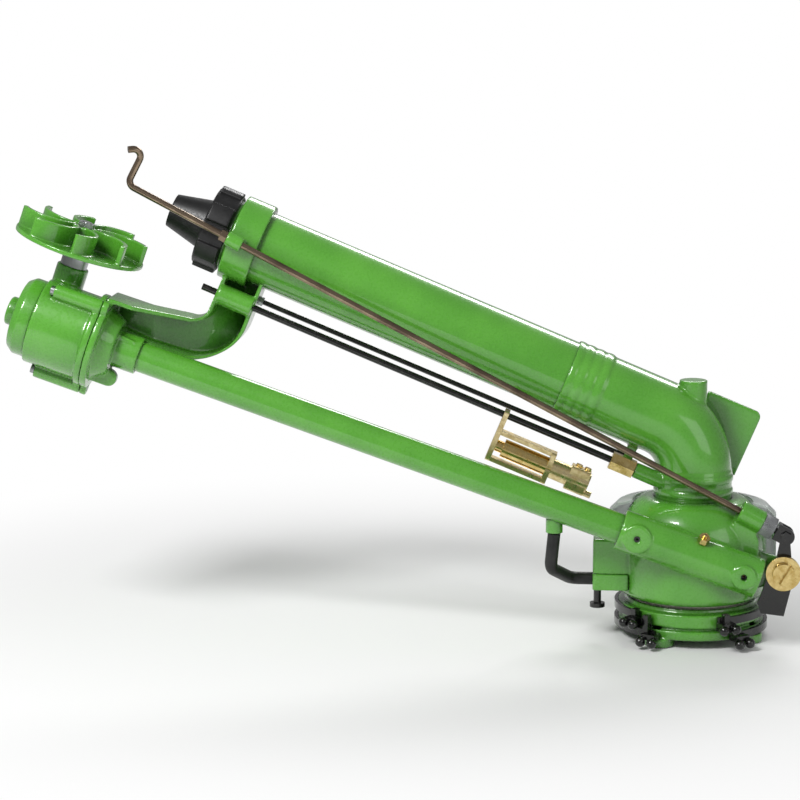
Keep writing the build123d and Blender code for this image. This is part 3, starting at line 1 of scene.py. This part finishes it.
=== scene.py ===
"""Looks of the turbine driven gun sprinkler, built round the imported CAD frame, in metres.

The camera stands where the photograph's did, the castings get rounded copies of their solids,
and every piece takes a procedural finish named for what the real one is made of.
"""
import json
import math

import bpy
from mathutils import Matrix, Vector

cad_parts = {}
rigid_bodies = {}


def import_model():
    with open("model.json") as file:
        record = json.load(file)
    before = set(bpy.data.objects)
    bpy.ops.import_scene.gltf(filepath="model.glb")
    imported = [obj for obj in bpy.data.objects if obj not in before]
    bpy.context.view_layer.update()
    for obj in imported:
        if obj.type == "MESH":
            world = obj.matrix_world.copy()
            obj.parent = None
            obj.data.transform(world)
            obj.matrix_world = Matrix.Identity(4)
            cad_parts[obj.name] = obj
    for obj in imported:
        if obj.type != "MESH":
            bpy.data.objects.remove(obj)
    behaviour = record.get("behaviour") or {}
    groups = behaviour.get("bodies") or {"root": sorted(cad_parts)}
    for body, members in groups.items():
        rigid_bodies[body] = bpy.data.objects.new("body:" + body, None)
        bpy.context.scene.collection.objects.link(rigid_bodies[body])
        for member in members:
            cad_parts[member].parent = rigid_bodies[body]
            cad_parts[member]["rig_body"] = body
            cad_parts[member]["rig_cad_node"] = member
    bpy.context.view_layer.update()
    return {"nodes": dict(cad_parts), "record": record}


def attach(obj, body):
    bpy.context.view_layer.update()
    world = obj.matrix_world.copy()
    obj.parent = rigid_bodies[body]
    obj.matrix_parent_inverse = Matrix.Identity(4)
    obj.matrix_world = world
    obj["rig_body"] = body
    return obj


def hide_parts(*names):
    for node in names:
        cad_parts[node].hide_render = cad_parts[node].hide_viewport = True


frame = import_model()
nodes = frame["nodes"]
MM = 0.001

# Camera: seen from the drive tube's side, a little from the right and from above
CAMERA_TURN = math.radians(5.0)
CAMERA_RISE = math.radians(10.0)
CAMERA_DISTANCE = 3.0
CAMERA_TARGET = Vector((-0.3515, 0.0, 0.2773))
CAMERA_LENS = 112.5
CAMERA_REACH = 100.0

# Floor: its shadow fades to plain white between two distances from the object's middle
FLOOR_SIZE = 40.0
FLOOR_DROP = 0.5 * MM
MIDDLE = Vector((-0.35, 0.0, 0.25))
FADE_RADIUS = 0.35
WHITE_RADIUS = 0.95

# Soft lights, each with its place, its two sides and its power in watts
KEY = ((-1.3, -1.5, 1.9), (0.7, 0.7), 44)
FILL = ((1.6, -1.6, 0.9), (1.2, 1.2), 6)
RIM = ((0.2, 1.8, 1.6), (1.4, 0.5), 22)
ROOM_LIGHT = 0.28

# Castings and mouldings: size of the remesh cells in mm, and the rounds of smoothing
LARGE_CASTINGS = ("turret_housing", "elbow", "front_bracket", "gearbox_case", "inlet_flange")
LARGE_CELL, LARGE_ROUNDS = 1.3, 8
SMALL_CASTINGS = ("gearbox_cap", "turbine_wheel", "latch_cap", "nozzle_nut", "nozzle")
SMALL_CELL, SMALL_ROUNDS = 0.9, 6
KEPT_SHARE = 0.4
MERGE_DISTANCE = 0.01 * MM


def activate(piece):
    """Makes this the only selected object, and the active one."""
    bpy.ops.object.select_all(action="DESELECT")
    piece.hide_set(False)
    piece.select_set(True)
    bpy.context.view_layer.objects.active = piece


# Materials
def linear(hex_colour):
    """A written sRGB colour as the linear one that a shader takes."""
    parts = [int(hex_colour[i:i + 2], 16) / 255 for i in (1, 3, 5)]
    return [c / 12.92 if c <= 0.04045 else ((c + 0.055) / 1.055) ** 2.4 for c in parts] + [1.0]


def node(tree, kind, inputs=None, **settings):
    """A shader node with its settings; an input is a value, or a socket to link from."""
    made = tree.nodes.new("ShaderNode" + kind)
    for name, value in settings.items():
        setattr(made, name, value)
    for name, value in (inputs or {}).items():
        if isinstance(value, bpy.types.NodeSocket):
            tree.links.new(value, made.inputs[name])
        else:
            made.inputs[name].default_value = value
    return made


def surface(name, roughness, metallic=0.0, ior=1.5, coat=0.0, coat_roughness=0.05):
    """A material with its shader, and the object coordinates that its patterns read."""
    material = bpy.data.materials.new(name)
    material.use_nodes = True
    tree = material.node_tree
    shader = tree.nodes["Principled BSDF"]
    shader.inputs["Roughness"].default_value = roughness
    shader.inputs["Metallic"].default_value = metallic
    if not metallic:
        shader.inputs["IOR"].default_value = ior
    shader.inputs["Coat Weight"].default_value = coat
    shader.inputs["Coat Roughness"].default_value = coat_roughness
    place = node(tree, "TexCoord").outputs["Object"]
    return material, tree, shader, place


def noise(tree, place, size_mm, detail=3.0, roughness=0.5):
    """Noise whose lumps are about that many millimetres across."""
    inputs = {"Vector": place, "Scale": 1 / (size_mm * MM), "Detail": detail, "Roughness": roughness}
    return node(tree, "TexNoise", inputs).outputs["Fac"]


def spread(tree, value, low, high, start=0.3, end=0.7):
    """A noise value stretched over a range."""
    inputs = {"Value": value, "From Min": start, "From Max": end, "To Min": low, "To Max": high}
    return node(tree, "MapRange", inputs).outputs["Result"]


def mixed(tree, value, first, second):
    """Colour between two others by a value from 0 to 1; each is written in hex or is a socket."""
    mix = tree.nodes.new("ShaderNodeMix")
    mix.data_type = "RGBA"
    sockets = [s for s in mix.inputs if s.type == "RGBA"]
    for socket, colour in zip(sockets, (first, second)):
        if isinstance(colour, str):
            socket.default_value = linear(colour)
        else:
            tree.links.new(colour, socket)
    tree.links.new(value, mix.inputs["Factor"])
    return [s for s in mix.outputs if s.type == "RGBA"][0]


def bumped(tree, shader, height, depth_mm, strength=1.0, normal=None):
    """Bump on the shader from a height that goes from 0 to 1 over a depth in millimetres."""
    inputs = {"Height": height, "Distance": depth_mm * MM, "Strength": strength}
    if normal is not None:
        inputs["Normal"] = normal
    made = node(tree, "Bump", inputs)
    tree.links.new(made.outputs["Normal"], shader.inputs["Normal"])


def soft_edge(tree, radius_mm):
    """Normal that rounds the edges as seen, for turned and sawn pieces."""
    return node(tree, "Bevel", {"Radius": radius_mm * MM}, samples=4).outputs["Normal"]


def green_enamel():
    """Wet-sprayed green enamel on aluminium castings: deep gloss, slight orange peel, and painted shade
    that darkens it in recesses.
    """
    material, tree, shader, place = surface("green_enamel_on_casting", 0.3, coat=1.0, coat_roughness=0.04)
    drift = spread(tree, noise(tree, place, 60), 0, 1)
    speck = spread(tree, noise(tree, place, 4), 0, 1)
    base = mixed(tree, drift, "#4f9a2a", "#5eab35")
    # Painted shade: ambient occlusion darkens the green towards #1f4a14 in recesses and crevices
    painted_recess_shade = node(tree, "AmbientOcclusion", {"Distance": 25 * MM}, samples=4).outputs["AO"]
    tree.links.new(mixed(tree, painted_recess_shade, "#1f4a14", base), shader.inputs["Base Color"])
    tree.links.new(spread(tree, speck, 0.22, 0.36, 0, 1), shader.inputs["Roughness"])
    bumped(tree, shader, noise(tree, place, 9, 2.0), 0.05, 0.4, soft_edge(tree, 1.0))
    return material


def black_nylon():
    """Glass-filled nylon moulding: satin black with a fine sparked grain."""
    material, tree, shader, place = surface("black_glass_filled_nylon", 0.42)
    drift = spread(tree, noise(tree, place, 12), 0, 1)
    tree.links.new(mixed(tree, drift, "#0c0c0d", "#1b1b1c"), shader.inputs["Base Color"])
    tree.links.new(spread(tree, noise(tree, place, 2), 0.34, 0.5), shader.inputs["Roughness"])
    bumped(tree, shader, noise(tree, place, 0.8, 2.0), 0.04, 0.6, soft_edge(tree, 0.7))
    return material


def black_enamel():
    """Stoved black enamel on steel: gloss black with a little dust."""
    material, tree, shader, place = surface("black_stoved_enamel", 0.24, coat=0.4)
    dust = spread(tree, noise(tree, place, 9, 6.0, 0.7), 0, 1, 0.5, 0.75)
    tree.links.new(mixed(tree, dust, "#070707", "#2a2926"), shader.inputs["Base Color"])
    tree.links.new(spread(tree, dust, 0.18, 0.42, 0, 1), shader.inputs["Roughness"])
    bumped(tree, shader, noise(tree, place, 2.5), 0.03, 0.5, soft_edge(tree, 0.7))
    return material


def black_rubber():
    """Moulded EPDM rubber: dull black with a bloom on it."""
    material, tree, shader, place = surface("moulded_epdm_rubber", 0.5)
    bloom = spread(tree, noise(tree, place, 14, 5.0), 0, 1)
    tree.links.new(mixed(tree, bloom, "#0b0b0b", "#232323"), shader.inputs["Base Color"])
    bumped(tree, shader, noise(tree, place, 1.2), 0.05, 0.5, soft_edge(tree, 0.8))
    return material


def brass(name, bright, dull, roughness, grain_mm):
    """Bare brass: tarnish in patches, with the grain of how it was worked."""
    material, tree, shader, place = surface(name, roughness, metallic=1.0)
    tarnish = spread(tree, noise(tree, place, 7, 6.0, 0.65), 0, 1)
    tree.links.new(mixed(tree, tarnish, bright, dull), shader.inputs["Base Color"])
    polish = spread(tree, tarnish, roughness - 0.08, roughness + 0.12, 0, 1)
    tree.links.new(polish, shader.inputs["Roughness"])
    bumped(tree, shader, noise(tree, place, grain_mm, 3.0), 0.06, 0.6, soft_edge(tree, 0.5))
    return material


def plated_steel(name, bright, dull, roughness):
    """Electroplated steel: a thin even coat, clouded where it has been handled."""
    material, tree, shader, place = surface(name, roughness, metallic=1.0)
    cloud = spread(tree, noise(tree, place, 25, 2.0), 0, 1)
    tree.links.new(mixed(tree, cloud, bright, dull), shader.inputs["Base Color"])
    tree.links.new(spread(tree, cloud, roughness - 0.06, roughness + 0.1, 0, 1), shader.inputs["Roughness"])
    bumped(tree, shader, noise(tree, place, 1.5), 0.03, 0.5, soft_edge(tree, 0.5))
    return material


def frosted_cover():
    """Injection-moulded polypropylene guard: milky and partly see-through, with a fine grain."""
    material, tree, shader, place = surface("milky_polypropylene", 0.3, ior=1.3)
    haze = spread(tree, noise(tree, place, 40, 3.0), 0, 1)
    tree.links.new(mixed(tree, haze, "#dfe6e2", "#eef2f0"), shader.inputs["Base Color"])
    shader.inputs["Transmission Weight"].default_value = 0.55
    bumped(tree, shader, noise(tree, place, 3), 0.04, 0.4)
    return material


def acetal():
    """Turned acetal: off-white, slightly waxy."""
    material, tree, shader, place = surface("turned_acetal", 0.4)
    drift = spread(tree, noise(tree, place, 15), 0, 1)
    tree.links.new(mixed(tree, drift, "#e5e1d4", "#d8d3c2"), shader.inputs["Base Color"])
    bumped(tree, shader, noise(tree, place, 1.0), 0.02, 0.5)
    return material


GREEN = green_enamel()
NYLON = black_nylon()
BLACK = black_enamel()
RUBBER = black_rubber()
CAST_BRASS = brass("cast_brass", "#efe0b0", "#c9b078", 0.3, 1.6)
TURNED_BRASS = brass("turned_brass", "#ecd596", "#c8a961", 0.2, 0.9)
BRONZE = brass("bearing_bronze", "#b98a52", "#8d6538", 0.36, 1.2)
ZINC = plated_steel("zinc_plated_steel", "#b9bbbd", "#8e9092", 0.34)
PASSIVATED = plated_steel("yellow_passivated_steel", "#a3907a", "#6d5d50", 0.24)
STEEL = plated_steel("ground_steel", "#c9cbcd", "#a7a9ab", 0.24)
ALUMINIUM = plated_steel("mill_aluminium", "#c4c6c8", "#9fa1a3", 0.36)
COVER = frosted_cover()
ACETAL = acetal()

SLOT_FINISH = {
    "green_paint": GREEN,
    "black_plastic": NYLON,
    "black_enamel": BLACK,
    "rubber": RUBBER,
    "brass": TURNED_BRASS,
    "bronze": BRONZE,
    "zinc": ZINC,
    "passivated_steel": PASSIVATED,
    "steel": STEEL,
    "clear_plastic": COVER,
    "ivory_plastic": ACETAL,
    "aluminium": ALUMINIUM,
}
NODE_SLOT = {part["node"]: part["material_slot"] for part in frame["record"]["subparts"]}
NODE_BODY = {name: piece["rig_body"] for name, piece in nodes.items()}


def coat(piece, material):
    """One material all over a piece."""
    piece.data.materials.clear()
    piece.data.materials.append(material)


# CAD nodes keep their shape unless a piece below stands for them
for name, piece in nodes.items():
    coat(piece, SLOT_FINISH[NODE_SLOT[name]])
coat(nodes["valve_cage"], CAST_BRASS)
coat(nodes["valve_head"], CAST_BRASS)


def copy_of(name):
    """A merged copy of a CAD node's mesh, as an object of its own."""
    twin = nodes[name].copy()
    twin.data = nodes[name].data.copy()
    twin.name = name + "_shown"
    twin.parent = None
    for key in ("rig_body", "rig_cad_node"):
        if key in twin:
            del twin[key]
    bpy.context.scene.collection.objects.link(twin)
    activate(twin)
    bpy.ops.object.mode_set(mode="EDIT")
    bpy.ops.mesh.select_all(action="SELECT")
    bpy.ops.mesh.remove_doubles(threshold=MERGE_DISTANCE)
    bpy.ops.object.mode_set(mode="OBJECT")
    return twin


def modify(piece, kind, **settings):
    """Adds a modifier and applies it at once."""
    activate(piece)
    made = piece.modifiers.new(kind.lower(), kind)
    for name, value in settings.items():
        setattr(made, name, value)
    bpy.ops.object.modifier_apply(modifier=made.name)


def casting(name, cell_mm, rounds):
    """A node as it comes out of its mould: the same form with every edge and corner eased."""
    piece = copy_of(name)
    modify(piece, "REMESH", mode="VOXEL", voxel_size=cell_mm * MM)
    modify(piece, "SMOOTH", factor=0.5, iterations=rounds)
    modify(piece, "DECIMATE", ratio=KEPT_SHARE)
    activate(piece)
    bpy.ops.object.shade_smooth()
    coat(piece, SLOT_FINISH[NODE_SLOT[name]])
    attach(piece, NODE_BODY[name])
    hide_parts(name)


for name in LARGE_CASTINGS:
    casting(name, LARGE_CELL, LARGE_ROUNDS)
for name in SMALL_CASTINGS:
    casting(name, SMALL_CELL, SMALL_ROUNDS)

# Grip nut of the trip lever's fork, on the jet rod's own line
ROD_ORIGIN = Vector((60, -60, 158.5)) * MM
ROD_AXIS = Vector((-0.885799, 0, 0.464069))
NUT_START, NUT_END, NUT_RADIUS = -37 * MM, -22 * MM, 13 * MM
KNURLS = 36
KNURL_DEPTH = 0.6 * MM
END_RING = 1.2 * MM
END_FACING = 0.9
SIDE_FACING = 0.1
SMOOTH_ANGLE = math.radians(35)


def select_faces(piece, wanted):
    """Edit mode on the piece, with only the faces selected that the test names."""
    activate(piece)
    bpy.ops.object.mode_set(mode="EDIT")
    bpy.ops.mesh.select_mode(type="FACE")
    bpy.ops.mesh.select_all(action="DESELECT")
    bpy.ops.object.mode_set(mode="OBJECT")
    for face in piece.data.polygons:
        face.select = wanted(face)
    bpy.ops.object.mode_set(mode="EDIT")


def settle(piece):
    """Ends the edit with normals outward and the place in the mesh."""
    bpy.ops.mesh.select_all(action="SELECT")
    bpy.ops.mesh.normals_make_consistent(inside=False)
    bpy.ops.object.mode_set(mode="OBJECT")
    bpy.ops.object.transform_apply(location=True, rotation=True, scale=True)


def knurled_nut():
    """Zinc plated grip nut behind the rod's lug, with straight knurls all round."""
    turn = ROD_AXIS.to_track_quat("Z", "Y").to_euler()
    bpy.ops.mesh.primitive_cylinder_add(
        vertices=2 * KNURLS, radius=NUT_RADIUS, depth=NUT_END - NUT_START,
        location=ROD_ORIGIN + ROD_AXIS * (NUT_START + NUT_END) / 2, rotation=turn,
    )
    nut = bpy.context.active_object
    nut.name = "knurled_link_nut"
    select_faces(nut, lambda face: abs(face.normal.z) > END_FACING)
    bpy.ops.mesh.inset(thickness=END_RING, depth=0.0)
    bpy.ops.object.mode_set(mode="OBJECT")
    select_faces(nut, lambda face: abs(face.normal.z) < SIDE_FACING and face.index % 2 == 0)
    bpy.ops.mesh.inset(thickness=KNURL_DEPTH / 3, depth=-KNURL_DEPTH, use_individual=True)
    settle(nut)
    modify(nut, "BEVEL", width=KNURL_DEPTH / 3, segments=2, limit_method="ANGLE")
    activate(nut)
    bpy.ops.object.shade_smooth_by_angle(angle=SMOOTH_ANGLE)
    coat(nut, ZINC)
    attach(nut, NODE_BODY["link_nut"])
    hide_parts("link_nut")


knurled_nut()

# Floor, light and camera
bpy.ops.mesh.primitive_plane_add(size=FLOOR_SIZE, location=(0, 0, -FLOOR_DROP))
floor = bpy.context.active_object
floor.name = "floor"


def studio_floor():
    """Matt white card that carries the shadow near the object and is plain white beyond it."""
    material, tree, shader, place = surface("white_card", 0.9)
    shader.inputs["Base Color"].default_value = linear("#f4f4f4")
    shader.inputs["Specular IOR Level"].default_value = 0.1
    centre = node(tree, "Mapping", {"Vector": place, "Location": (-MIDDLE.x, 0, 0)}).outputs["Vector"]
    away = node(tree, "VectorMath", {0: centre}, operation="LENGTH").outputs["Value"]
    fade = node(
        tree, "MapRange",
        {"Value": away, "From Min": FADE_RADIUS, "From Max": WHITE_RADIUS, "To Min": 0.0, "To Max": 1.0},
        interpolation_type="SMOOTHSTEP",
    ).outputs["Result"]
    seen = node(tree, "LightPath").outputs["Is Camera Ray"]
    share = node(tree, "Math", {0: fade, 1: seen}, operation="MULTIPLY").outputs["Value"]
    white = node(tree, "Emission", {"Color": (1, 1, 1, 1), "Strength": 1.0}).outputs["Emission"]
    joined = node(tree, "MixShader", {"Fac": share})
    tree.links.new(shader.outputs["BSDF"], joined.inputs[1])
    tree.links.new(white, joined.inputs[2])
    tree.links.new(joined.outputs["Shader"], tree.nodes["Material Output"].inputs["Surface"])
    return material


coat(floor, studio_floor())


def studio_world():
    """Even, dim room light, which the camera sees as plain white."""
    world = bpy.data.worlds.new("studio")
    bpy.context.scene.world = world
    world.use_nodes = True
    tree = world.node_tree
    room = tree.nodes["Background"]
    room.inputs["Color"].default_value = (1, 1, 1, 1)
    path = node(tree, "LightPath")
    seen = path.outputs["Is Camera Ray"]
    strength = node(
        tree, "MapRange", {"Value": seen, "From Min": 0, "From Max": 1, "To Min": ROOM_LIGHT, "To Max": 1.0}
    ).outputs["Result"]
    tree.links.new(strength, room.inputs["Strength"])


studio_world()


def softbox(name, place, size, power):
    """A soft light that looks at the object's middle."""
    data = bpy.data.lights.new(name, "AREA")
    data.shape = "RECTANGLE"
    data.size, data.size_y = size
    data.energy = power
    lamp = bpy.data.objects.new(name, data)
    bpy.context.scene.collection.objects.link(lamp)
    lamp.location = place
    lamp.rotation_euler = (MIDDLE - Vector(place)).to_track_quat("-Z", "Y").to_euler()


softbox("key", *KEY)
softbox("fill", *FILL)
softbox("rim", *RIM)

camera_data = bpy.data.cameras.new("camera")
camera_data.lens = CAMERA_LENS
camera_data.clip_end = CAMERA_REACH
camera = bpy.data.objects.new("camera", camera_data)
bpy.context.scene.collection.objects.link(camera)
towards = Vector((
    math.sin(CAMERA_TURN) * math.cos(CAMERA_RISE),
    -math.cos(CAMERA_TURN) * math.cos(CAMERA_RISE),
    math.sin(CAMERA_RISE),
))
camera.location = CAMERA_TARGET + towards * CAMERA_DISTANCE
camera.rotation_euler = (-towards).to_track_quat("-Z", "Y").to_euler()
bpy.context.scene.camera = camera
bpy.context.scene.view_settings.view_transform = "Standard"
